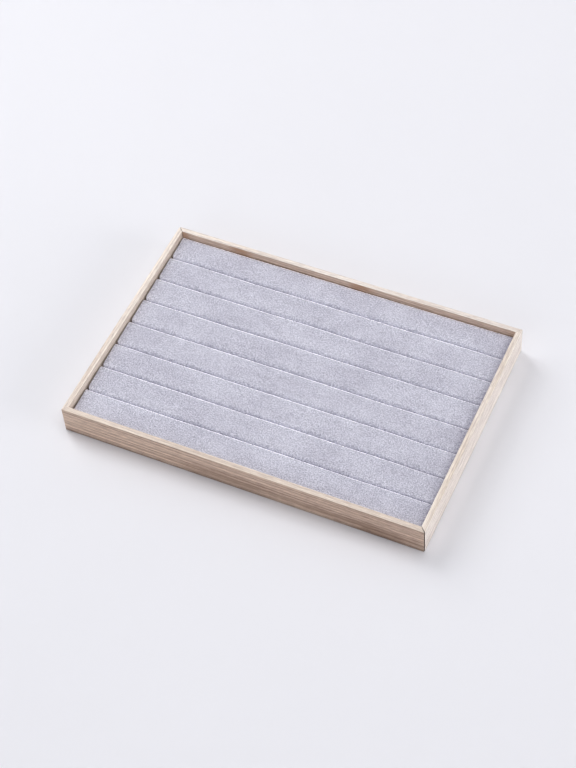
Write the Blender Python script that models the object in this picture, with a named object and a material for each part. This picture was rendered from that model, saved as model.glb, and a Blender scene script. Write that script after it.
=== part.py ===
"""Ring display: a shallow mitred wooden tray with a drop-in pad of velvet-covered strips.

Metres, +Z up. X runs along the long rails, Y runs from front to back, and the origin
is the middle of the underside. The pad is one insert, and it lifts straight up and out.
"""
import math

import bmesh
import bpy
from mathutils import Matrix, Vector

MM = 0.001

# Outside of the tray
TRAY_LENGTH = 350 * MM
TRAY_DEPTH = 240 * MM
RAIL_HEIGHT = 30 * MM
RAIL_THICKNESS = 5 * MM

# Room left between pieces that touch
JOIN_GAP = 0.3 * MM

# Edges and joints of the rails
RIM_ROUND = 0.5 * MM
FOOT_ROUND = 0.4 * MM
OPEN_MITRE_GAP = 0.8 * MM
REBATE_WIDTH_SHARE = 0.6
ROUND_STEPS = 4

# Base panel, let into the rebate under the rails
PANEL_THICKNESS = 3 * MM

# Panel pins, driven up through the panel's edge into the rails
PIN_LENGTH = 12 * MM
PIN_SHANK_RADIUS = 0.5 * MM
PIN_HEAD_RADIUS = 0.75 * MM
PIN_HEAD_HEIGHT = 0.5 * MM
PIN_POINT_LENGTH = 1.6 * MM
PIN_TIP_SHARE = 0.2
PIN_RECESS = 0.2 * MM
PINS_ON_LONG_RAIL = 3
PINS_ON_SHORT_RAIL = 2
PIN_SIDES = 8

# Play of the insert between the rails
LEFT_PLAY = 1.0 * MM
RIGHT_PLAY = 0.7 * MM
FRONT_PLAY = 0.8 * MM
BACK_PLAY = 0.3 * MM

# Insert board
BOARD_THICKNESS = 2 * MM
BOARD_CORNER_RADIUS = 2 * MM

# Velvet-covered foam strips
STRIP_COUNT = 8
RIM_ABOVE_PAD = 6.2 * MM
COVER_THICKNESS = 0.9 * MM
COVER_HEM_WIDTH = 7 * MM
STRIP_CORNER_RADIUS = 2.2 * MM
STRIP_EDGE_RADIUS = 3.0 * MM
STRIP_BASE_RADIUS = 1.5 * MM
STRIP_CROWN_RISE = 0.7 * MM
STRIP_SIDE_TUCK = 0.5 * MM
CROWN_STEP_SHARES = (0.3, 0.8)
BULGE_HEIGHT_SHARE = 0.5
COVER_ARC_STEPS = 4
COVER_CORNER_STEPS = 3
FOAM_ARC_STEPS = 2
FOAM_CORNER_STEPS = 2

# Levels, from the underside up
BOARD_BASE = PANEL_THICKNESS + JOIN_GAP
BOARD_TOP = BOARD_BASE + BOARD_THICKNESS
STRIP_BASE = BOARD_TOP + JOIN_GAP
STRIP_HEIGHT = RAIL_HEIGHT - RIM_ABOVE_PAD - STRIP_BASE

# Rebate and panel
REBATE_WIDTH = RAIL_THICKNESS * REBATE_WIDTH_SHARE
REBATE_HEIGHT = PANEL_THICKNESS + JOIN_GAP
PANEL_INSET = RAIL_THICKNESS - REBATE_WIDTH + JOIN_GAP
PIN_INSET = (PANEL_INSET + RAIL_THICKNESS) / 2

# Insert outline
INSERT_LEFT = -TRAY_LENGTH / 2 + RAIL_THICKNESS + LEFT_PLAY
INSERT_RIGHT = TRAY_LENGTH / 2 - RAIL_THICKNESS - RIGHT_PLAY
INSERT_FRONT = -TRAY_DEPTH / 2 + RAIL_THICKNESS + FRONT_PLAY
INSERT_BACK = TRAY_DEPTH / 2 - RAIL_THICKNESS - BACK_PLAY
INSERT_LENGTH = INSERT_RIGHT - INSERT_LEFT
INSERT_DEPTH = INSERT_BACK - INSERT_FRONT
STRIP_PITCH = INSERT_DEPTH / STRIP_COUNT


def clear_scene():
    """Removes every object, so that only the model is in the scene."""
    for old in list(bpy.data.objects):
        bpy.data.objects.remove(old, do_unlink=True)


def material(name, colour, roughness, metallic=0.0):
    """A plain Principled material, with a linear colour."""
    mat = bpy.data.materials.new(name)
    mat.use_nodes = True
    shader = mat.node_tree.nodes["Principled BSDF"]
    shader.inputs["Base Color"].default_value = (*colour, 1.0)
    shader.inputs["Roughness"].default_value = roughness
    shader.inputs["Metallic"].default_value = metallic
    return mat


def pale_wood():
    return material("pale_wood", (0.66, 0.52, 0.40), 0.55)


def panel_board():
    return material("panel_board", (0.47, 0.34, 0.22), 0.7)


def pin_steel():
    return material("pin_steel", (0.55, 0.54, 0.52), 0.35, 1.0)


def grey_card():
    return material("grey_card", (0.32, 0.31, 0.30), 0.9)


def white_foam():
    return material("white_foam", (0.78, 0.77, 0.72), 0.95)


def grey_velvet():
    return material("grey_velvet", (0.56, 0.55, 0.63), 0.95)


def add_object(name, mesh, mat, location=(0, 0, 0), angle=0.0, parent=None):
    """Puts a mesh into the scene as one named piece."""
    mesh.materials.append(mat)
    piece = bpy.data.objects.new(name, mesh)
    piece.location = location
    piece.rotation_euler = (0, 0, angle)
    piece.parent = parent
    bpy.context.collection.objects.link(piece)
    return piece


def mesh_from(name, bm, smooth_angle=None):
    """Turns a bmesh into a mesh whose faces point out, rounded where an angle is given."""
    bmesh.ops.recalc_face_normals(bm, faces=bm.faces)
    mesh = bpy.data.meshes.new(name)
    bm.to_mesh(mesh)
    bm.free()
    if smooth_angle is not None:
        mesh.shade_smooth()
        mesh.set_sharp_from_angle(angle=smooth_angle)
    return mesh


def loft(bm, rings):
    """Joins rings of equal length into one closed skin, with a flat cap at both ends."""
    loops = [[bm.verts.new(point) for point in ring] for ring in rings]
    count = len(loops[0])
    for lower, upper in zip(loops, loops[1:]):
        for i in range(count):
            j = (i + 1) % count
            bm.faces.new((lower[i], lower[j], upper[j], upper[i]))
    bm.faces.new(loops[0])
    bm.faces.new(loops[-1])


def arc(centre_a, centre_b, radius, start, end, steps):
    """Points of an arc in a plane, from one angle to another, both in degrees."""
    points = []
    for i in range(steps + 1):
        angle = math.radians(start + (end - start) * i / steps)
        points.append((centre_a + radius * math.cos(angle), centre_b + radius * math.sin(angle)))
    return points


# Wooden frame

def rail_profile():
    """Section of a rail: distance in from the outer face, and height.

    The two rim edges are rounded, the outer foot is eased, and the inner foot is
    rebated for the base panel.
    """
    inner = RAIL_THICKNESS
    top = RAIL_HEIGHT
    points = arc(FOOT_ROUND, FOOT_ROUND, FOOT_ROUND, 270, 180, ROUND_STEPS)
    points += arc(RIM_ROUND, top - RIM_ROUND, RIM_ROUND, 180, 90, ROUND_STEPS)
    points += arc(inner - RIM_ROUND, top - RIM_ROUND, RIM_ROUND, 90, 0, ROUND_STEPS)
    points.append((inner, REBATE_HEIGHT))
    points.append((inner - REBATE_WIDTH, REBATE_HEIGHT))
    points.append((inner - REBATE_WIDTH, 0))
    return points


def mitre_end(half_length, inset, outer_gap):
    """Where a rail ends, at a distance in from its outer face, on a 45 degree mitre.

    Half of the joint's gap is taken off each rail. The gap runs evenly from its
    width at the outer corner to the usual one at the inner corner.
    """
    gap = outer_gap + (JOIN_GAP - outer_gap) * inset / RAIL_THICKNESS
    return half_length - inset - gap / math.sqrt(2)


def make_rail(name, length, place, angle, mitre_gaps, mat, bores):
    """One rail, modelled along X with its outer face towards -Y, then turned into place."""
    profile = rail_profile()
    left_gap, right_gap = mitre_gaps
    left = [Vector((-mitre_end(length / 2, inset, left_gap), inset, z)) for inset, z in profile]
    right = [Vector((mitre_end(length / 2, inset, right_gap), inset, z)) for inset, z in profile]
    bm = bmesh.new()
    loft(bm, [left, right])
    rail = add_object(name, mesh_from(name, bm), mat, place, math.radians(angle))
    cut(rail, bores)
    return rail


def make_frame(bores):
    """Four rails, closed at two mitres and a little open at the other two."""
    wood = pale_wood()
    shut, gaping = JOIN_GAP, OPEN_MITRE_GAP
    half_x, half_y = TRAY_LENGTH / 2, TRAY_DEPTH / 2
    make_rail("front_rail", TRAY_LENGTH, (0, -half_y, 0), 0, (shut, gaping), wood, bores)
    make_rail("right_rail", TRAY_DEPTH, (half_x, 0, 0), 90, (gaping, shut), wood, bores)
    make_rail("back_rail", TRAY_LENGTH, (0, half_y, 0), 180, (shut, gaping), wood, bores)
    make_rail("left_rail", TRAY_DEPTH, (-half_x, 0, 0), 270, (gaping, shut), wood, bores)


def make_panel(bores):
    """The base panel, flush with the foot of the rails."""
    half_x = TRAY_LENGTH / 2 - PANEL_INSET
    half_y = TRAY_DEPTH / 2 - PANEL_INSET
    corners = ((-half_x, -half_y), (half_x, -half_y), (half_x, half_y), (-half_x, half_y))
    bm = bmesh.new()
    loft(bm, [[Vector((x, y, z)) for x, y in corners] for z in (0, PANEL_THICKNESS)])
    panel = add_object("base_panel", mesh_from("base_panel", bm), panel_board())
    cut(panel, bores)


# Panel pins and their bores

def pin_profile(clearance=0.0):
    """Radius and height of a pin from its head up to its point, or of the bore for it.

    A bore starts a clearance below the underside, so that it cuts the panel open.
    """
    head_top = PIN_RECESS + PIN_HEAD_HEIGHT
    tip = PIN_RECESS + PIN_LENGTH
    start = -clearance if clearance else PIN_RECESS
    return [
        (PIN_HEAD_RADIUS + clearance, start),
        (PIN_HEAD_RADIUS + clearance, head_top + clearance),
        (PIN_SHANK_RADIUS + clearance, head_top + clearance),
        (PIN_SHANK_RADIUS + clearance, tip - PIN_POINT_LENGTH),
        (PIN_SHANK_RADIUS * PIN_TIP_SHARE + clearance, tip + clearance),
    ]


def turn(bm, profile, centre):
    """A round body from its profile, standing at a place."""
    rings = []
    for radius, height in profile:
        ring = []
        for i in range(PIN_SIDES):
            angle = math.tau * i / PIN_SIDES
            x = centre[0] + radius * math.cos(angle)
            y = centre[1] + radius * math.sin(angle)
            ring.append(Vector((x, y, height)))
        rings.append(ring)
    loft(bm, rings)


def pin_places():
    """Where the pins stand, all round the panel's edge."""
    places = []
    run_x = TRAY_LENGTH / 2 - RAIL_THICKNESS
    run_y = TRAY_DEPTH / 2 - RAIL_THICKNESS
    edge_x = TRAY_LENGTH / 2 - PIN_INSET
    edge_y = TRAY_DEPTH / 2 - PIN_INSET
    for i in range(PINS_ON_LONG_RAIL):
        along = run_x * ((2 * i + 1) / PINS_ON_LONG_RAIL - 1)
        places += [(along, -edge_y), (along, edge_y)]
    for i in range(PINS_ON_SHORT_RAIL):
        along = run_y * ((2 * i + 1) / PINS_ON_SHORT_RAIL - 1)
        places += [(-edge_x, along), (edge_x, along)]
    return places


def make_bores():
    """The shape that drills all the pin bores, kept as a guide."""
    bm = bmesh.new()
    for place in pin_places():
        turn(bm, pin_profile(JOIN_GAP), place)
    bores = bpy.data.objects.new("pin_bores", mesh_from("pin_bores", bm))
    bores.hide_render = True
    bores.display_type = "WIRE"
    bpy.context.collection.objects.link(bores)
    return bores


def cut(piece, cutter):
    """Takes the cutter's shape out of a piece."""
    boolean = piece.modifiers.new("bores", "BOOLEAN")
    boolean.operation = "DIFFERENCE"
    boolean.object = cutter


def make_pins():
    """The panel pins, sharing one mesh."""
    bm = bmesh.new()
    turn(bm, pin_profile(), (0, 0))
    mesh = mesh_from("panel_pin", bm, math.radians(40))
    steel = pin_steel()
    mesh.materials.append(steel)
    for number, (x, y) in enumerate(pin_places(), start=1):
        pin = bpy.data.objects.new(f"panel_pin_{number:02d}", mesh)
        pin.location = (x, y, 0)
        bpy.context.collection.objects.link(pin)


# The insert: its board, its foam strips and their velvet covers

def make_insert_frame():
    """The empty that carries the insert, in the middle of its underside."""
    lift = bpy.data.objects.new("insert_lift", None)
    lift.location = ((INSERT_LEFT + INSERT_RIGHT) / 2, (INSERT_FRONT + INSERT_BACK) / 2, BOARD_BASE)
    bpy.context.collection.objects.link(lift)
    return lift


def rounded_ring(half_x, half_y, radius, z, steps):
    """A rectangle with round corners at one height, centred on the axis."""
    corners = ((1, 1, 0), (-1, 1, 90), (-1, -1, 180), (1, -1, 270))
    ring = []
    for side_x, side_y, start in corners:
        centre_x = side_x * (half_x - radius)
        centre_y = side_y * (half_y - radius)
        for x, y in arc(centre_x, centre_y, radius, start, start + 90, steps):
            ring.append(Vector((x, y, z)))
    return ring


def make_board(lift):
    """The stiff card that carries the strips."""
    bm = bmesh.new()
    rings = []
    for z in (0, BOARD_THICKNESS):
        rings.append(rounded_ring(INSERT_LENGTH / 2, INSERT_DEPTH / 2, BOARD_CORNER_RADIUS, z, ROUND_STEPS))
    loft(bm, rings)
    add_object("insert_board", mesh_from("insert_board", bm), grey_card(), parent=lift)


def strip_rings(half_x, half_y, depth, arc_steps, corner_steps):
    """Rings of the strip's skin, from the base up to the crown, at a depth under its surface.

    Each ring is a round-cornered rectangle. It is drawn in at the base, widest at
    mid height, rolls over at the top edge and rises gently to the crown.
    """
    outline = []
    roll_start = STRIP_HEIGHT - STRIP_CROWN_RISE - STRIP_EDGE_RADIUS
    base_radius = STRIP_BASE_RADIUS - depth / 2
    foot = depth + base_radius
    outline += arc(STRIP_SIDE_TUCK + foot, foot, base_radius, 270, 180, arc_steps)
    outline.append((depth, STRIP_HEIGHT * BULGE_HEIGHT_SHARE))
    roll = STRIP_EDGE_RADIUS - depth
    outline += arc(STRIP_EDGE_RADIUS, roll_start, roll, 180, 90, arc_steps)
    crown_run = half_y - STRIP_EDGE_RADIUS
    for share in CROWN_STEP_SHARES:
        rise = STRIP_CROWN_RISE * (1 - (1 - share) ** 2)
        outline.append((STRIP_EDGE_RADIUS + crown_run * share, roll_start + roll + rise))
    rings = []
    for inset, z in outline:
        radius = STRIP_CORNER_RADIUS / (1 + inset / STRIP_CORNER_RADIUS)
        rings.append(rounded_ring(half_x - inset, half_y - inset, radius, z, corner_steps))
    return rings


def cover_mesh(half_x, half_y):
    """A velvet cover: over the top, down the sides and ends, and turned under in a hem."""
    outer = strip_rings(half_x, half_y, 0, COVER_ARC_STEPS, COVER_CORNER_STEPS)
    inner = strip_rings(half_x, half_y, COVER_THICKNESS, COVER_ARC_STEPS, COVER_CORNER_STEPS)
    hem_x, hem_y = half_x - COVER_HEM_WIDTH, half_y - COVER_HEM_WIDTH
    hem_radius = STRIP_CORNER_RADIUS / (1 + COVER_HEM_WIDTH / STRIP_CORNER_RADIUS)
    hem = []
    for z in (0, COVER_THICKNESS):
        hem.append(rounded_ring(hem_x, hem_y, hem_radius, z, COVER_CORNER_STEPS))
    bm = bmesh.new()
    loft(bm, outer[::-1] + hem + inner)
    return mesh_from("velvet_cover", bm, math.radians(50))


def foam_mesh(half_x, half_y):
    """The foam inside a cover."""
    depth = COVER_THICKNESS + JOIN_GAP
    bm = bmesh.new()
    loft(bm, strip_rings(half_x, half_y, depth, FOAM_ARC_STEPS, FOAM_CORNER_STEPS))
    return mesh_from("foam_strip", bm, math.radians(50))


def strip_edges():
    """Front and back edge of each strip, from the front."""
    edges = []
    for i in range(STRIP_COUNT):
        front = STRIP_PITCH * (i - STRIP_COUNT / 2)
        back = front + STRIP_PITCH
        if i > 0:
            front += JOIN_GAP / 2
        if i < STRIP_COUNT - 1:
            back -= JOIN_GAP / 2
        edges.append((front, back))
    return edges


def make_strips(lift):
    """Foam strips in their covers, side by side on the board, with a slot between each two."""
    velvet = grey_velvet()
    foam = white_foam()
    seat = STRIP_BASE - BOARD_BASE
    for number, (front, back) in enumerate(strip_edges(), start=1):
        place = (0, (front + back) / 2, seat)
        half_x = INSERT_LENGTH / 2
        half_y = (back - front) / 2
        add_object(f"foam_strip_{number}", foam_mesh(half_x, half_y), foam, place, parent=lift)
        add_object(f"velvet_cover_{number}", cover_mesh(half_x, half_y), velvet, place, parent=lift)


def build():
    clear_scene()
    bores = make_bores()
    make_frame(bores)
    make_panel(bores)
    make_pins()
    lift = make_insert_frame()
    make_board(lift)
    make_strips(lift)
    bpy.context.view_layer.update()


build()
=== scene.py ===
"""Looks of the ring display: wood, velvet pad, floor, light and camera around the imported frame."""
import math

import bmesh
import bpy
from mathutils import Matrix, Vector, noise


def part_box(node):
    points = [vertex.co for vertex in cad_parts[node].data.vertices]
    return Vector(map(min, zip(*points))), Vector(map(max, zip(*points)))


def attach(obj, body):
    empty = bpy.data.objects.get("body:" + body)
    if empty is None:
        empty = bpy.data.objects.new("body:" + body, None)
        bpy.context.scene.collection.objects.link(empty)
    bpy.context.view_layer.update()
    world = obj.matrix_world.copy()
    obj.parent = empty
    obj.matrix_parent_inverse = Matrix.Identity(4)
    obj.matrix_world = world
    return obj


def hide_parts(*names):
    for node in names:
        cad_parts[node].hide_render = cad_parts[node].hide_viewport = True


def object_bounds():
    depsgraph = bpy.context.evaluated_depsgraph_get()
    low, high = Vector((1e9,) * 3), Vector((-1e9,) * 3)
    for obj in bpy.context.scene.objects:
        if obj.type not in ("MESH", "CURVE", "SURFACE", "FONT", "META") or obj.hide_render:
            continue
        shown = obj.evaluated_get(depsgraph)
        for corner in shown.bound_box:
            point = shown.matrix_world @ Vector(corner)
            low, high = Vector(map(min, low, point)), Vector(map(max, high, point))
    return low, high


MM = 0.001
INSERT = "ring_insert"

# Camera, as fitted to the photograph: metres, degrees, and millimetres for its lens and sensor
CAMERA_PLACE = (0.5040, -0.9532, 1.3667)
CAMERA_AZIMUTH = 28.21
CAMERA_ELEVATION = 51.54
CAMERA_ROLL = -4.93
CAMERA_LENS = 89.07
CAMERA_SENSOR = 36.0
CAMERA_NEAR = 0.05
CAMERA_FAR = 50.0

# In all materials, colours are linear. A noise is its scales per metre along each axis, its detail, and its
# roughness where that isn't 0.5. A relief is its depth and strength. Every other group of two or four plain
# numbers is a range: where it starts and ends, and its values there where they aren't 0 and 1.

# Growth rings of the wood. All noises of the wood have their first axis along the board.
RING_SPACING = 3.0 * MM
RING_FLATNESS = 0.8
RING_DRIFT = 0.012
RING_SWAY = 11 * MM
SWAY_NOISE = ((3.0, 20.0, 20.0), 2.0)
LATEWOOD_RISE = (0.3, 0.84)
LATEWOOD_FALL = (0.88, 1.0, 1.0, 0.0)
LATEWOOD_NOISE = ((5.0, 90.0, 90.0), 1.0)
LATEWOOD_STRENGTH = (0.3, 0.7, 0.35, 1.0)

# Fibres and pores
STREAK_NOISE = ((6.0, 260.0, 260.0), 2.0)
STREAK_SHADE = (0.3, 0.7, -0.05, 0.05)
LINE_NOISE = ((5.0, 800.0, 800.0), 2.0)
LINE_SHADE = (0.3, 0.7, -0.14, 0.12)
FIBRE_NOISE = ((110.0, 1700.0, 1700.0), 3.0, 0.6)
FIBRE_SHADE = (0.25, 0.75, -0.2, 0.18)
PORE_NOISE = ((160.0, 3600.0, 3600.0), 1.0)
PORE_RANGE = (0.62, 0.72)
PORE_STRENGTH = 0.3
PORE_TONE = 0.55

# Stains, painted contact shadow at the foot, a painted highlight on the top, and sawn ends. On a mitre's sawn
# face, the normal's x times its y is 0.5 or -0.5.
PATCH_NOISE = ((14.0, 70.0, 70.0), 3.0)
PATCH_RANGE = (0.35, 0.62)
KNOT = (0.52, 0.28, 0.15)
BROWN = (0.33, 0.215, 0.155)
FOOT_EDGE_HEIGHT = 0.4 * MM
PAINTED_FOOT_SHADOW_HEIGHT = 4.0 * MM
DRIFT_REACH = 140 * MM
TOP_GRAIN = 1.1
OPEN_END_REACH = 50 * MM
SAWN_RANGE = (0.25, 0.45)
SAWN_END = (0.10, 0.054, 0.03)

# Finish of the wood. Its red follows only this share of a change of shade, so what is dark is warmer.
RED_SHARE = 0.88
WOOD_ROUGHNESS = (0.2, 0.8, 0.5, 0.68)
WOOD_SPECULAR = 0.35
WOOD_RELIEF = (0.06 * MM, 0.6)
FIBRE_RELIEF_SHARE = 0.6
RING_RELIEF_SHARE = 0.5

# The four boards. A mark is its place along the board, its height, its half sizes, in mm, and its strength.
BOARDS = {
    "front_rail": {
        "along": "X", "shift": (0.11, 0.157, 0.031), "foot_shade": 0.55, "open_end": 1.0, "grain": 1.8,
        "early": (0.685, 0.522, 0.41), "late": (0.482, 0.323, 0.243), "pale_depth": 0.9 * MM,
        "top_early": (0.82, 0.705, 0.61), "top_late": (0.74, 0.62, 0.52),
        "mark_colour": BROWN, "marks": ((-5, 6, 85, 14, 0.66), (115, 5, 90, 14, 0.88)),
    },
    "back_rail": {
        "along": "X", "shift": (1.37, -0.09, 0.044), "foot_shade": 0.8, "open_end": -1.0, "grain": 1.0,
        "early": (0.79, 0.617, 0.493), "late": (0.58, 0.416, 0.31), "top_drift": (1.065, 0.9),
        "top_early": (0.89, 0.81, 0.745), "top_late": (0.82, 0.72, 0.645),
        "marks": (
            (-168, 24, 7, 12, 0.6),
            (-107, 25, 16, 12, 0.8),
            (18, 25, 16, 12, 0.75),
            (168, 22, 7, 12, 0.5),
        ),
    },
    "left_rail": {
        "along": "Y", "shift": (2.21, 0.21, 0.037), "foot_shade": 0.8, "open_end": 1.0, "grain": 1.0,
        "early": (0.76, 0.652, 0.56), "late": (0.65, 0.538, 0.446),
        "top_early": (0.94, 0.84, 0.75), "top_late": (0.84, 0.71, 0.61),
    },
    "right_rail": {
        "along": "Y", "shift": (3.43, -0.14, 0.052), "foot_shade": 0.84, "open_end": -1.0, "grain": 1.35,
        "early": (0.825, 0.75, 0.687), "late": (0.735, 0.642, 0.57),
        "top_early": (0.87, 0.773, 0.69), "top_late": (0.795, 0.683, 0.583),
    },
}

# Base panel
FIGURE_NOISE = ((5.0, 45.0, 45.0), 4.0, 0.6)
PANEL_NOISE = ((30.0, 900.0, 900.0), 3.0)
PANEL_TONES = ((0.25, (0.50, 0.37, 0.25)), (0.55, (0.62, 0.48, 0.34)), (0.8, (0.68, 0.55, 0.41)))
PANEL_SHADE = (0.3, 0.7, 0.88, 1.05)
PANEL_ROUGHNESS = (0.2, 0.8, 0.62, 0.8)
PANEL_RELIEF = (0.05 * MM, 1.0)

# Insert board
FLECK_NOISE = ((700.0, 700.0, 700.0), 4.0, 0.7)
MOTTLE_NOISE = ((40.0, 40.0, 40.0), 2.0)
CARD_TONES = ((0.3, (0.25, 0.24, 0.23)), (0.55, (0.33, 0.32, 0.31)), (0.75, (0.42, 0.41, 0.39)))
CARD_SHADE = (0.3, 0.7, 0.94, 1.05)
CARD_ROUGHNESS = (0.2, 0.8, 0.82, 0.95)
CARD_RELIEF = (0.05 * MM, 1.0)

# Panel pins
SCRATCH_NOISE = ((900.0, 900.0, 6000.0), 3.0)
DULL_NOISE = ((500.0, 500.0, 500.0), 2.0)
PIN_TONES = ((0.3, (0.42, 0.41, 0.39)), (0.7, (0.60, 0.59, 0.57)))
PIN_ROUGHNESS = (0.2, 0.8, 0.25, 0.5)
PIN_RELIEF = (0.01 * MM, 1.0)

# Velvet: soft clouds, patches brushed the other way, tufts and single piles
VELVET_TONES = ((0.587, 0.579, 0.668), (0.583, 0.579, 0.668))
CLOUD_NOISE = ((24.0, 40.0, 40.0), 2.0)
CLOUD_RANGE = (0.3, 0.7)
CLOUD_SHADE = (0.3, 0.7, -0.065, 0.065)
BRUSHED_NOISE = ((110.0, 170.0, 170.0), 2.0)
BRUSHED_SHADE = (0.3, 0.7, -0.042, 0.042)
TUFT_NOISE = ((840.0, 840.0, 840.0), 0.0)
TUFT_SHADE = (0.2, 0.8, -0.25, 0.25)
PILE_NOISE = ((1900.0, 1900.0, 1900.0), 2.0, 0.7)
PILE_SHADE = (0.3, 0.7, -0.33, 0.33)

# Ranges of the velvet's painted sheen, by how grazing the view is and how far back it faces, and of its
# painted light and shade, down the front rolls and by place along x
PAINTED_SHEEN_RISE = (0.46, 0.82)
PAINTED_SHEEN_FALL = (0.88, 0.96, 1.0, 0.0)
PAINTED_SHEEN_GAIN = 1.8
BACK_ROLL_RANGE = (0.1, 0.45)
PAINTED_LIGHT_FRONT_ROLL = (-0.25, 0.0, 1.05, 1.0)
PAINTED_SHADE_FRONT_ROLL = (-0.8, -0.3, 0.94, 1.0)
PAINTED_LIGHT_END = (-170 * MM, -157 * MM, 1.14, 1.0)
PAINTED_SHADE_END = (160 * MM, 170 * MM, 1.0, 0.62)

# Finish of the velvet. Its blue follows only this share of a change of shade, so what is dark is bluer.
BLUE_SHARE = 0.88
VELVET_ROUGHNESS = (0.2, 0.8, 0.85, 1.0)
VELVET_SPECULAR = 0.1
VELVET_RELIEF = (0.3 * MM, 0.6)
SHEEN_WEIGHT = 0.5
SHEEN_ROUGHNESS = 0.4
SHEEN_TINT = (0.95, 0.95, 1.0, 1.0)

# Floor
FLOOR_NOISE = ((3.0, 3.0, 3.0), 2.0)
FLOOR_TONES = ((0.3, (0.875, 0.875, 0.915)), (0.7, (0.885, 0.885, 0.925)))
FLOOR_ROUGHNESS = 0.7
FLOOR_SPECULAR = 0.2

# Padded strips: the CAD's boxes, with rolled edges and a skin of velvet that cloth simulation swells
STRIP_COUNT = 8
FRONT_ROLL = 3.6 * MM
BACK_ROLL = 3.0 * MM
END_ROLL = 1.2 * MM
TOP_ROLL = 2.7 * MM
FOOT_ROLL = 1.5 * MM
ROLL_STEPS = 3
SKIN_STEP = 5.5 * MM
SLACK = 0.35 * MM
CROWN_CAP = 0.55 * MM
SIDE_CAP = 0.02 * MM
PLUMP = 0.03 * MM
HELD_SHARE = 0.55
CLOTH_FRAMES = 20
CLOTH_PRESSURE = 0.5
CLOTH_MASS = 0.3
CLOTH_STIFFNESS = 15.0
CLOTH_BENDING = 0.5
CLOTH_QUALITY = 5

# How the strips stray from the CAD's straight slots. The gain brings the noise to about 1 at most.
TUCK_FADE = 25 * MM
SLOT_SHIFTS = (0.0 * MM, 0.25 * MM, 0.35 * MM, 0.3 * MM, 0.9 * MM, 0.6 * MM, 0.5 * MM)
SLOT_WANDER = 0.35 * MM
SLOT_WAVELENGTH = 55 * MM
WANDER_GAIN = 1.6
END_SLANT = 0.85 * MM
END_PRESS = 0.4 * MM
NOTCH_DEPTH = 1.3 * MM
NOTCH_WIDTH = 3.5 * MM
DIMPLE_DEPTH = 0.22 * MM
DIMPLE_SPACING = 26 * MM
NAP_DEPTH = 0.08 * MM
NAP_SPACING = 4.5 * MM

# Where each slot or strip reads its noise: the step from one to the next, and the line that it reads along
SLOT_STEP = 7.3
SLOT_LINE = 0.5
NAP_STEP = 3.1
SLANT_STEP = 5.7
SLANT_LINE = (0.3, 2.0)

# Soft boxes, all of one size and at one distance
SOFT_BOX_SIZE = 1.55
SOFT_BOX_DISTANCE = 3.8
SURROUND_STRENGTH = 0.01
WHITE = (1.0, 1.0, 1.0, 1.0)

# Name, azimuth, elevation in degrees, and power in watts. Azimuth 0 is behind the tray and 90 on its left.
SOFT_BOXES = (
    ("back_high_box", 0, 75, 19.5),
    ("back_left_box", 60, 50, 40.5),
    ("back_left_low_box", 60, 30, 24.9),
    ("left_box", 90, 35, 19.5),
    ("front_box", 180, 30, 12.6),
    ("right_high_box", 270, 68, 30.1),
    ("right_low_box", 270, 15, 47.5),
)

# Floor that curves up into a round wall, far from the object on every side
INNER_FLOOR_RADIUS = 1.6
FLOOR_RADIUS = 3.2
COVE_RADIUS = 1.4
WALL_HEIGHT = 3.4
COVE_STEPS = 16
WALL_STEPS = 96


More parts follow.
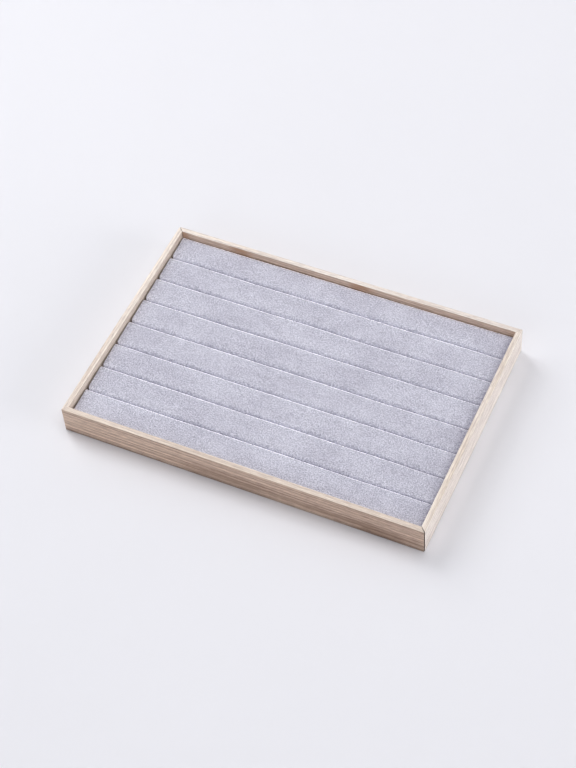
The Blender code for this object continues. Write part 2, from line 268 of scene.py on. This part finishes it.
class Graph:
    """A material's node tree, with short calls for the nodes that the looks need."""

    def __init__(self, name):
        self.material = bpy.data.materials.new(name)
        self.material.use_nodes = True
        self.tree = self.material.node_tree
        self.shader = self.tree.nodes["Principled BSDF"]

    def add(self, kind, **inputs):
        """A node of a kind. Each input is a value or another node's output."""
        node = self.tree.nodes.new(kind)
        for name, value in inputs.items():
            self.feed(node.inputs[name.replace("_", " ")], value)
        return node

    def feed(self, socket, value):
        if isinstance(value, bpy.types.NodeSocket):
            self.tree.links.new(value, socket)
        else:
            socket.default_value = value

    def math(self, operation, first, second=0.0, third=0.0):
        node = self.tree.nodes.new("ShaderNodeMath")
        node.operation = operation
        for socket, value in zip(node.inputs, (first, second, third)):
            self.feed(socket, value)
        return node.outputs[0]

    def vector(self, operation, first, second):
        node = self.tree.nodes.new("ShaderNodeVectorMath")
        node.operation = operation
        self.feed(node.inputs[0], first)
        self.feed(node.inputs[1], second)
        return node.outputs[0]

    def place(self):
        """Where a point lies on the piece, in metres."""
        return self.tree.nodes.new("ShaderNodeTexCoord").outputs["Object"]

    def facing_out(self):
        """Which way the surface faces, as a unit vector of the piece's own axes."""
        return self.tree.nodes.new("ShaderNodeTexCoord").outputs["Normal"]

    def grazing(self):
        """From 0 where the surface is seen square on to 1 where it is seen edge on."""
        return self.add("ShaderNodeLayerWeight", Blend=0.5).outputs["Facing"]

    def split(self, vector):
        return self.add("ShaderNodeSeparateXYZ", Vector=vector).outputs

    def join(self, x, y, z):
        return self.add("ShaderNodeCombineXYZ", X=x, Y=y, Z=z).outputs[0]

    def noise(self, place, scales, detail=2.0, roughness=0.5):
        """Smooth noise from 0 to 1, with its own scale per metre along each axis."""
        stretched = self.vector("MULTIPLY", place, scales)
        node = self.add("ShaderNodeTexNoise", Vector=stretched, Scale=1.0, Detail=detail, Roughness=roughness)
        return node.outputs["Fac"]

    def ramp(self, factor, stops):
        """A colour ramp, from pairs of position and linear colour."""
        node = self.add("ShaderNodeValToRGB", Fac=factor)
        marks = node.color_ramp.elements
        while len(marks) < len(stops):
            marks.new(1.0)
        for mark, (position, colour) in zip(marks, stops):
            mark.position = position
            mark.color = (*colour, 1.0)
        return node.outputs["Color"]

    def mix(self, factor, first, second, blend="MIX"):
        node = self.tree.nodes.new("ShaderNodeMix")
        node.data_type = "RGBA"
        node.blend_type = blend
        self.feed(node.inputs["Factor"], factor)
        colours = [s for s in node.inputs if s.type == "RGBA"]
        for socket, value in zip(colours, (first, second)):
            self.feed(socket, (*value, 1.0) if isinstance(value, tuple) else value)
        return next(s for s in node.outputs if s.type == "RGBA")

    def range(self, value, low, high, to_low=0.0, to_high=1.0):
        """Maps a value from one range to another, smoothly and within its ends."""
        node = self.tree.nodes.new("ShaderNodeMapRange")
        node.interpolation_type = "SMOOTHSTEP"
        for socket, number in zip(node.inputs, (value, low, high, to_low, to_high)):
            self.feed(socket, number)
        return node.outputs[0]

    def shaded(self, colour, red, green, blue):
        """The colour, with a shade for each of its channels."""
        return self.mix(1.0, colour, self.join(red, green, blue), "MULTIPLY")

    def part_of(self, share, shade):
        """A shade that follows only a share of another shade's change."""
        return self.math("MULTIPLY_ADD", shade, share, 1 - share)

    def bump(self, height, depth, strength):
        node = self.add("ShaderNodeBump", Height=height, Distance=depth, Strength=strength)
        self.feed(self.shader.inputs["Normal"], node.outputs["Normal"])

    def look(self, colour, roughness):
        self.feed(self.shader.inputs["Base Color"], colour)
        self.feed(self.shader.inputs["Roughness"], roughness)


# Materials

def growth_rings(g, place):
    """Latewood lines, from 0 to 1, as rings that a lengthwise cut crosses at a low angle."""
    run, across, height = g.split(place)
    sway = g.noise(place, *SWAY_NOISE)
    flat = g.math("MULTIPLY", across, RING_FLATNESS)
    reach = g.math("SQRT", g.math("ADD", g.math("POWER", flat, 2.0), g.math("POWER", height, 2.0)))
    drift = g.math("MULTIPLY_ADD", run, RING_DRIFT, g.math("MULTIPLY", sway, RING_SWAY))
    ring = g.math("FRACT", g.math("DIVIDE", g.math("ADD", reach, drift), RING_SPACING))
    line = g.math("MULTIPLY", g.range(ring, *LATEWOOD_RISE), g.range(ring, *LATEWOOD_FALL))
    return g.math("MULTIPLY", line, g.range(g.noise(place, *LATEWOOD_NOISE), *LATEWOOD_STRENGTH))


def fibre_shade(g, place, grain):
    """A shade for the colour, from coarse streaks, finer lines and single fibres, and those fibres."""
    streaks = g.range(g.noise(place, *STREAK_NOISE), *STREAK_SHADE)
    lines = g.range(g.noise(place, *LINE_NOISE), *LINE_SHADE)
    fibres = g.noise(place, *FIBRE_NOISE)
    spread = g.math("ADD", g.math("ADD", streaks, lines), g.range(fibres, *FIBRE_SHADE))
    return g.math("MULTIPLY_ADD", spread, grain, 1.0), fibres


def soft_mark(g, run, height, mark):
    """A stain or small knot: an oval that fades out, darkest in its middle."""
    run_at, height_at, half_run, half_height, strength = mark
    from_run = g.math("DIVIDE", g.math("SUBTRACT", run, run_at * MM), half_run * MM)
    from_height = g.math("DIVIDE", g.math("SUBTRACT", height, height_at * MM), half_height * MM)
    reach = g.math("ADD", g.math("POWER", from_run, 2.0), g.math("POWER", from_height, 2.0))
    return g.range(reach, 0.0, 1.0, strength, 0.0)


def stains_and_foot_shadow(g, colour, place, length, height, foot_shade, marks, mark_colour):
    """A board's side with its stains and knots, and a painted contact shadow that darkens its foot."""
    patch = g.range(g.noise(place, *PATCH_NOISE), *PATCH_RANGE)
    for mark in marks:
        colour = g.mix(g.math("MULTIPLY", patch, soft_mark(g, length, height, mark)), colour, mark_colour)
    # Painted contact shadow: the foot darkens towards the floor.
    foot = g.range(height, FOOT_EDGE_HEIGHT, PAINTED_FOOT_SHADOW_HEIGHT, foot_shade)
    return g.shaded(colour, foot, foot, foot)


def sawn_ends(g, length, open_end):
    """1 on the mitre faces near a board's open end, and 0 elsewhere."""
    face_x, face_y, _ = g.split(g.facing_out())
    sawn = g.range(g.math("ABSOLUTE", g.math("MULTIPLY", face_x, face_y)), *SAWN_RANGE)
    near_open_end = g.range(g.math("MULTIPLY", length, open_end), 0.0, OPEN_END_REACH)
    return g.math("MULTIPLY", sawn, near_open_end)


def wood(
    name, rail_top, along, shift, grain, early, late, top_early, top_late, foot_shade, open_end,
    pale_depth=0.5 * MM, top_drift=(1.0, 1.0), mark_colour=KNOT, marks=(),
):
    """Pale timber with growth rings, fibres, pores, a painted highlight on its top and one open mitre.

    shift moves the board to another stretch of timber, and grain is how strong the fibres are on its sides.
    foot_shade is how dark its painted contact shadow is, and pale_depth how far down the sides the top's
    painted highlight reaches.
    top_drift is how pale or dark that top is at its low and its high end. open_end is 1 where the open mitre
    is at the high end, and -1 where it is at the low end.
    """
    g = Graph(name)
    x, y, z = g.split(g.place())
    length, width = (x, y) if along == "X" else (y, x)
    place = g.vector("ADD", g.join(length, width, z), shift)
    latewood = growth_rings(g, place)
    # The top is painted paler and more neutral than the sides: a painted highlight of the light falling on
    # it.
    top = g.range(z, rail_top - pale_depth, rail_top - pale_depth / 3)
    shade, fibres = fibre_shade(g, place, g.math("MULTIPLY_ADD", top, TOP_GRAIN - grain, grain))
    drift = g.range(length, -DRIFT_REACH, DRIFT_REACH, *top_drift)
    shade = g.math("MULTIPLY", shade, g.math("MULTIPLY_ADD", top, g.math("SUBTRACT", drift, 1.0), 1.0))

    side = stains_and_foot_shadow(g, g.mix(latewood, early, late), place, length, z, foot_shade, marks, mark_colour)
    colour = g.mix(top, side, g.mix(latewood, top_early, top_late))
    colour = g.shaded(colour, g.part_of(RED_SHARE, shade), shade, shade)
    pores = g.range(g.noise(place, *PORE_NOISE), *PORE_RANGE)
    colour = g.mix(g.math("MULTIPLY", pores, PORE_STRENGTH), colour, tuple(PORE_TONE * c for c in late))
    colour = g.mix(sawn_ends(g, length, open_end), colour, SAWN_END)

    g.look(colour, g.range(fibres, *WOOD_ROUGHNESS))
    g.shader.inputs["Specular IOR Level"].default_value = WOOD_SPECULAR
    raised = g.math("MULTIPLY", fibres, FIBRE_RELIEF_SHARE)
    raised = g.math("ADD", raised, g.math("MULTIPLY", latewood, RING_RELIEF_SHARE))
    g.bump(g.math("SUBTRACT", raised, pores), *WOOD_RELIEF)
    return g.material


def plywood():
    """The base panel: pale thin board with long soft figure."""
    g = Graph("panel_board")
    place = g.place()
    fibres = g.noise(place, *PANEL_NOISE)
    shade = g.range(fibres, *PANEL_SHADE)
    colour = g.shaded(g.ramp(g.noise(place, *FIGURE_NOISE), PANEL_TONES), shade, shade, shade)
    g.look(colour, g.range(fibres, *PANEL_ROUGHNESS))
    g.bump(fibres, *PANEL_RELIEF)
    return g.material


def card():
    """The insert's grey board: mottled recycled fibre."""
    g = Graph("grey_card")
    place = g.place()
    flecks = g.noise(place, *FLECK_NOISE)
    shade = g.range(g.noise(place, *MOTTLE_NOISE), *CARD_SHADE)
    g.look(g.shaded(g.ramp(flecks, CARD_TONES), shade, shade, shade), g.range(flecks, *CARD_ROUGHNESS))
    g.bump(flecks, *CARD_RELIEF)
    return g.material


def steel():
    """The panel pins: drawn wire with light scratches and dull spots."""
    g = Graph("pin_steel")
    place = g.place()
    scratches = g.noise(place, *SCRATCH_NOISE)
    g.look(g.ramp(g.noise(place, *DULL_NOISE), PIN_TONES), g.range(scratches, *PIN_ROUGHNESS))
    g.shader.inputs["Metallic"].default_value = 1.0
    g.bump(scratches, *PIN_RELIEF)
    return g.material


def painted_light_and_shade(g, place, faces_back):
    """Painted light and shade on the velvet, at the strips' two ends and down the rolls in front."""
    along = g.split(place)[0]
    # Painted light at the strips' left-hand ends, and painted shade from the right rail at their right-hand
    # ends.
    ends = g.math("MULTIPLY", g.range(along, *PAINTED_LIGHT_END), g.range(along, *PAINTED_SHADE_END))
    # Painted light where a front roll starts to turn down, then painted shade further down it.
    rolls = g.math("MULTIPLY", g.range(faces_back, *PAINTED_LIGHT_FRONT_ROLL), g.range(faces_back, *PAINTED_SHADE_FRONT_ROLL))
    return g.math("MULTIPLY", ends, rolls)


def velvet():
    """Short-pile velvet: cloudy where the nap lies over, and speckled with tufts.

    It carries a painted sheen where a strip rolls over into the slot behind it and is seen at a low angle,
    painted light and then painted shade down the roll in front, painted light at the strips' left-hand ends,
    and painted shade from the rail at the right-hand ones.
    """
    g = Graph("grey_velvet")
    place = g.place()
    cloud = g.noise(place, *CLOUD_NOISE)
    tufts = g.noise(place, *TUFT_NOISE)
    pile = g.noise(place, *PILE_NOISE)
    faces_back = g.split(g.facing_out())[1]
    grazing = g.grazing()
    # Painted sheen: on the back rolls, seen at a low angle, the colour is brightened and its speckle
    # strengthened.
    painted_edge_sheen = g.math("MULTIPLY", g.range(grazing, *PAINTED_SHEEN_RISE), g.range(grazing, *PAINTED_SHEEN_FALL))
    painted_edge_sheen = g.math("MULTIPLY", painted_edge_sheen, g.range(faces_back, *BACK_ROLL_RANGE))

    brushed = g.range(g.noise(place, *BRUSHED_NOISE), *BRUSHED_SHADE)
    lay = g.math("ADD", g.range(cloud, *CLOUD_SHADE), brushed)
    speckle = g.math("ADD", g.range(tufts, *TUFT_SHADE), g.range(pile, *PILE_SHADE))
    speckle = g.math("MULTIPLY", speckle, g.math("ADD", painted_edge_sheen, 1.0))
    shade = g.math("ADD", g.math("ADD", lay, speckle), 1.0)
    shade = g.math("MULTIPLY", shade, g.math("MULTIPLY_ADD", painted_edge_sheen, PAINTED_SHEEN_GAIN, 1.0))
    # Painted light and shade at the strips' ends and down their front rolls.
    shade = g.math("MULTIPLY", shade, painted_light_and_shade(g, place, faces_back))
    tone = g.mix(g.range(cloud, *CLOUD_RANGE), *VELVET_TONES)
    colour = g.shaded(tone, shade, shade, g.part_of(BLUE_SHARE, shade))

    g.look(colour, g.range(pile, *VELVET_ROUGHNESS))
    g.shader.inputs["Specular IOR Level"].default_value = VELVET_SPECULAR
    g.shader.inputs["Sheen Weight"].default_value = SHEEN_WEIGHT
    g.shader.inputs["Sheen Roughness"].default_value = SHEEN_ROUGHNESS
    g.shader.inputs["Sheen Tint"].default_value = SHEEN_TINT
    g.bump(g.math("ADD", pile, tufts), *VELVET_RELIEF)
    return g.material


def floor_paint():
    """The pale floor, with a very faint unevenness."""
    g = Graph("floor")
    g.look(g.ramp(g.noise(g.place(), *FLOOR_NOISE), FLOOR_TONES), FLOOR_ROUGHNESS)
    g.shader.inputs["Specular IOR Level"].default_value = FLOOR_SPECULAR
    return g.material


# Padded strips

def link_mesh(name, bm, material):
    """Puts a bmesh into the scene as a smooth piece with faces pointing out."""
    bmesh.ops.recalc_face_normals(bm, faces=bm.faces)
    mesh = bpy.data.meshes.new(name)
    bm.to_mesh(mesh)
    bm.free()
    mesh.shade_smooth()
    mesh.materials.append(material)
    piece = bpy.data.objects.new(name, mesh)
    bpy.context.scene.collection.objects.link(piece)
    return piece


def grid_marks(length, low_roll, high_roll):
    """Places of grid lines along one side of a strip: crowded in its rolls, even between them."""
    low, high = [], []
    for i in range(ROLL_STEPS):
        turn = math.tan(math.radians(45 * (1 - i / ROLL_STEPS)))
        low.append(low_roll * (1 - turn))
        high.append(length - high_roll * (1 - turn))
    flat = length - low_roll - high_roll
    count = max(1, round(flat / SKIN_STEP))
    middle = [low_roll + flat * i / count for i in range(count + 1)]
    return low + middle + high[::-1]


def box_grid(marks):
    """A closed box of quads whose grid lines lie at the marks along each axis."""
    bm = bmesh.new()
    verts = {}
    last = [len(row) - 1 for row in marks]
    for axis in range(3):
        across, along = (other for other in range(3) if other != axis)
        for side in (0, last[axis]):
            for i in range(last[across]):
                for j in range(last[along]):
                    face = []
                    for step_i, step_j in ((0, 0), (1, 0), (1, 1), (0, 1)):
                        key = [0, 0, 0]
                        key[axis], key[across], key[along] = side, i + step_i, j + step_j
                        key = tuple(key)
                        if key not in verts:
                            verts[key] = bm.verts.new([marks[n][key[n]] for n in range(3)])
                        face.append(verts[key])
                    bm.faces.new(face)
    return bm


def rolled(place, size, low_rolls, high_rolls):
    """Moves a point of a box's skin in to its rolled edges and corners."""
    inner, reach, rolls = Vector(), Vector(), Vector()
    for n in range(3):
        if place[n] < low_rolls[n]:
            rolls[n] = low_rolls[n]
            inner[n] = rolls[n]
        elif place[n] > size[n] - high_rolls[n]:
            rolls[n] = high_rolls[n]
            inner[n] = size[n] - rolls[n]
        else:
            inner[n] = place[n]
        if rolls[n]:
            reach[n] = (place[n] - inner[n]) / rolls[n]
    reach.normalize()
    return inner + reach * rolls


def slot_wander(number, x, half_x):
    """How far a slot strays from the CAD's straight line at x. It wanders only between its two ends."""
    if not 1 <= number < STRIP_COUNT:
        return 0.0
    fade = min(1.0, max(0.0, (half_x - abs(x)) / TUCK_FADE))
    sway = noise.noise(Vector((x / SLOT_WAVELENGTH, number * SLOT_STEP, SLOT_LINE))) * WANDER_GAIN
    return SLOT_SHIFTS[number - 1] + SLOT_WANDER * fade * sway


def strip_skin(size):
    """The strip's skin before it swells, from the CAD box's low corner: low on top and plump at its sides."""
    low_rolls = (END_ROLL, FRONT_ROLL, FOOT_ROLL)
    high_rolls = (END_ROLL, BACK_ROLL, TOP_ROLL)
    skin_size = size + Vector((0, 2 * PLUMP, -SLACK))
    bm = box_grid([grid_marks(skin_size[n], low_rolls[n], high_rolls[n]) for n in range(3)])
    for vert in bm.verts:
        vert.co = rolled(vert.co, skin_size, low_rolls, high_rolls) - Vector((0, PLUMP, 0))
    return bm


def add_cloth(piece):
    """Velvet glued to the lower part of the foam, and free to swell above it."""
    verts = piece.data.vertices
    held_height = HELD_SHARE * max(vert.co.z for vert in verts)
    held = piece.vertex_groups.new(name="held")
    held.add([vert.index for vert in verts if vert.co.z < held_height], 1.0, "REPLACE")
    cloth = piece.modifiers.new("cloth", "CLOTH")
    cloth.collision_settings.use_collision = False
    cloth.point_cache.frame_start = 1
    cloth.point_cache.frame_end = CLOTH_FRAMES + 1
    settings = cloth.settings
    settings.vertex_group_mass = held.name
    settings.use_pressure = True
    settings.uniform_pressure_force = CLOTH_PRESSURE
    settings.effector_weights.gravity = 0.0
    settings.mass = CLOTH_MASS
    settings.tension_stiffness = CLOTH_STIFFNESS
    settings.compression_stiffness = CLOTH_STIFFNESS
    settings.shear_stiffness = CLOTH_STIFFNESS / 3
    settings.bending_stiffness = CLOTH_BENDING
    settings.quality = CLOTH_QUALITY


def capped(move):
    """A swelling move, held back so that a strip keeps clear of its neighbours and of the rim."""
    limits = (SIDE_CAP, SIDE_CAP, CROWN_CAP)
    return Vector([max(-limit, min(limit, step)) for step, limit in zip(move, limits)])


def swell(pieces):
    """Blows all strips up with cloth at once, and keeps the result in their meshes."""
    for piece in pieces:
        add_cloth(piece)
    for number in range(1, CLOTH_FRAMES + 1):
        bpy.context.scene.frame_set(number)
    graph = bpy.context.evaluated_depsgraph_get()
    swollen = [[vert.co.copy() for vert in piece.evaluated_get(graph).data.vertices] for piece in pieces]
    for piece, ends in zip(pieces, swollen):
        piece.modifiers.clear()
        piece.vertex_groups.clear()
        for vert, end in zip(piece.data.vertices, ends):
            vert.co += capped(end - vert.co)
    bpy.context.scene.frame_set(1)


def subdivided(piece):
    """The piece's mesh after one subdivision, as a bmesh."""
    smooth = piece.modifiers.new("smooth", "SUBSURF")
    smooth.levels = smooth.render_levels = 1
    bm = bmesh.new()
    bm.from_object(piece, bpy.context.evaluated_depsgraph_get())
    piece.modifiers.clear()
    return bm


def shape_strip(bm, number, low, size):
    """Puts the skin in place: slots that wander, slanted and notched ends, shallow dimples and a nap."""
    bm.normal_update()
    half_x = size.x / 2
    moves = []
    for vert in bm.verts:
        x = vert.co.x - half_x
        back_share = vert.co.y / size.y
        place = low + vert.co
        front = slot_wander(number - 1, x, half_x)
        back = slot_wander(number, x, half_x)
        dimple = noise.noise(place / DIMPLE_SPACING) * DIMPLE_DEPTH
        nap = noise.noise(place / NAP_SPACING + Vector((0.0, 0.0, number * NAP_STEP))) * NAP_DEPTH
        sink = max(0.0, vert.normal.z) * min(0.0, dimple + nap - DIMPLE_DEPTH / 2)
        fade = max(0.0, 1 - vert.co.x / TUCK_FADE)
        uneven = noise.noise(Vector((number * SLANT_STEP, *SLANT_LINE))) / 2
        slant = max(-END_PRESS, END_SLANT * (uneven + 1 - back_share) - END_PRESS)
        notch = NOTCH_DEPTH * max(0.0, 1 - vert.co.y / NOTCH_WIDTH) if number > 1 else 0.0
        moves.append(Vector((fade * (slant + notch), front * (1 - back_share) + back * back_share, sink)))
    for vert, move in zip(bm.verts, moves):
        vert.co += low + move


def make_strips(material):
    """The velvet-covered strips between the slots."""
    boxes = [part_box(f"velvet_cover_{number}") for number in range(1, STRIP_COUNT + 1)]
    pieces = []
    for number, (low, high) in enumerate(boxes, 1):
        pieces.append(link_mesh(f"padded_strip_{number}", strip_skin(high - low), material))
    swell(pieces)
    for number, (piece, (low, high)) in enumerate(zip(pieces, boxes), 1):
        bm = subdivided(piece)
        shape_strip(bm, number, low, high - low)
        bm.to_mesh(piece.data)
        bm.free()
        piece.data.shade_smooth()
        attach(piece, INSERT)
        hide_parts(f"velvet_cover_{number}", f"foam_strip_{number}")


# Stage, light and camera

def make_floor():
    """A plain round floor, coved up into a wall."""
    profile = [(INNER_FLOOR_RADIUS, 0.0)]
    for i in range(COVE_STEPS + 1):
        angle = math.pi / 2 * i / COVE_STEPS
        profile.append((FLOOR_RADIUS + COVE_RADIUS * math.sin(angle), COVE_RADIUS * (1 - math.cos(angle))))
    profile.append((FLOOR_RADIUS + COVE_RADIUS, WALL_HEIGHT))
    bm = bmesh.new()
    loops = []
    for reach, height in profile:
        turns = [math.tau * i / WALL_STEPS for i in range(WALL_STEPS)]
        loops.append([bm.verts.new((reach * math.cos(a), reach * math.sin(a), height)) for a in turns])
    bm.faces.new(loops[0])
    for inner, outer in zip(loops, loops[1:]):
        for i in range(WALL_STEPS):
            j = (i + 1) % WALL_STEPS
            bm.faces.new((inner[i], outer[i], outer[j], inner[j]))
    link_mesh("floor", bm, floor_paint())


def soft_box(name, azimuth, elevation, power):
    """A soft box that faces the tray."""
    turn, tilt = math.radians(azimuth), math.radians(elevation)
    light = bpy.data.lights.new(name, "AREA")
    light.shape = "SQUARE"
    light.size = SOFT_BOX_SIZE
    light.energy = power
    box = bpy.data.objects.new(name, light)
    flat = SOFT_BOX_DISTANCE * math.cos(tilt)
    box.location = (-flat * math.sin(turn), flat * math.cos(turn), SOFT_BOX_DISTANCE * math.sin(tilt))
    box.rotation_euler = (-box.location).to_track_quat("-Z", "Y").to_euler()
    bpy.context.scene.collection.objects.link(box)


def make_lights():
    """Soft boxes high and low on both sides, behind and faintly in front, and a dim surround."""
    for name, azimuth, elevation, power in SOFT_BOXES:
        soft_box(name, azimuth, elevation, power)
    world = bpy.data.worlds.new("surround")
    world.use_nodes = True
    background = world.node_tree.nodes["Background"]
    background.inputs["Color"].default_value = WHITE
    background.inputs["Strength"].default_value = SURROUND_STRENGTH
    bpy.context.scene.world = world


def make_camera():
    """The camera at the photograph's viewing angle."""
    data = bpy.data.cameras.new("camera")
    data.sensor_width = CAMERA_SENSOR
    data.lens = CAMERA_LENS
    data.clip_start = CAMERA_NEAR
    data.clip_end = CAMERA_FAR
    camera = bpy.data.objects.new("camera", data)
    turn = Matrix.Rotation(math.radians(CAMERA_AZIMUTH), 4, "Z")
    tilt = Matrix.Rotation(math.radians(90 - CAMERA_ELEVATION), 4, "X")
    roll = Matrix.Rotation(math.radians(CAMERA_ROLL), 4, "Z")
    camera.matrix_world = Matrix.Translation(CAMERA_PLACE) @ turn @ tilt @ roll
    bpy.context.scene.collection.objects.link(camera)
    bpy.context.scene.camera = camera


# Dressing the frame

def dress(node, material):
    """Gives a CAD node its finish."""
    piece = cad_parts[node]
    piece.data.materials.clear()
    piece.data.materials.append(material)


def dress_tray(rail_top):
    """Rails of unlike boards, the base panel and its pins."""
    for node, board in BOARDS.items():
        dress(node, wood(f"wood_{node}", rail_top, **board))
    dress("base_panel", plywood())
    pins = steel()
    for node in sorted(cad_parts):
        if node.startswith("panel_pin"):
            dress(node, pins)


def make_pad():
    """The insert: its board and the strips on it."""
    dress("insert_board", card())
    make_strips(velvet())


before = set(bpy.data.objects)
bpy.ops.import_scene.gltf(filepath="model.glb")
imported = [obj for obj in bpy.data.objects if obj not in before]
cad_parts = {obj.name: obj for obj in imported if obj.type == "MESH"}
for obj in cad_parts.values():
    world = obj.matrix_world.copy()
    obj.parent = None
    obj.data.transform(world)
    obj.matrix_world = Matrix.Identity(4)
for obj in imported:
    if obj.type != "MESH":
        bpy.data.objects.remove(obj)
cad_box = [list(corner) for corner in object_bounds()]
bpy.context.scene.view_settings.view_transform = "Standard"
make_camera()
make_floor()
make_lights()
dress_tray(rail_top=cad_box[1][2])
make_pad()
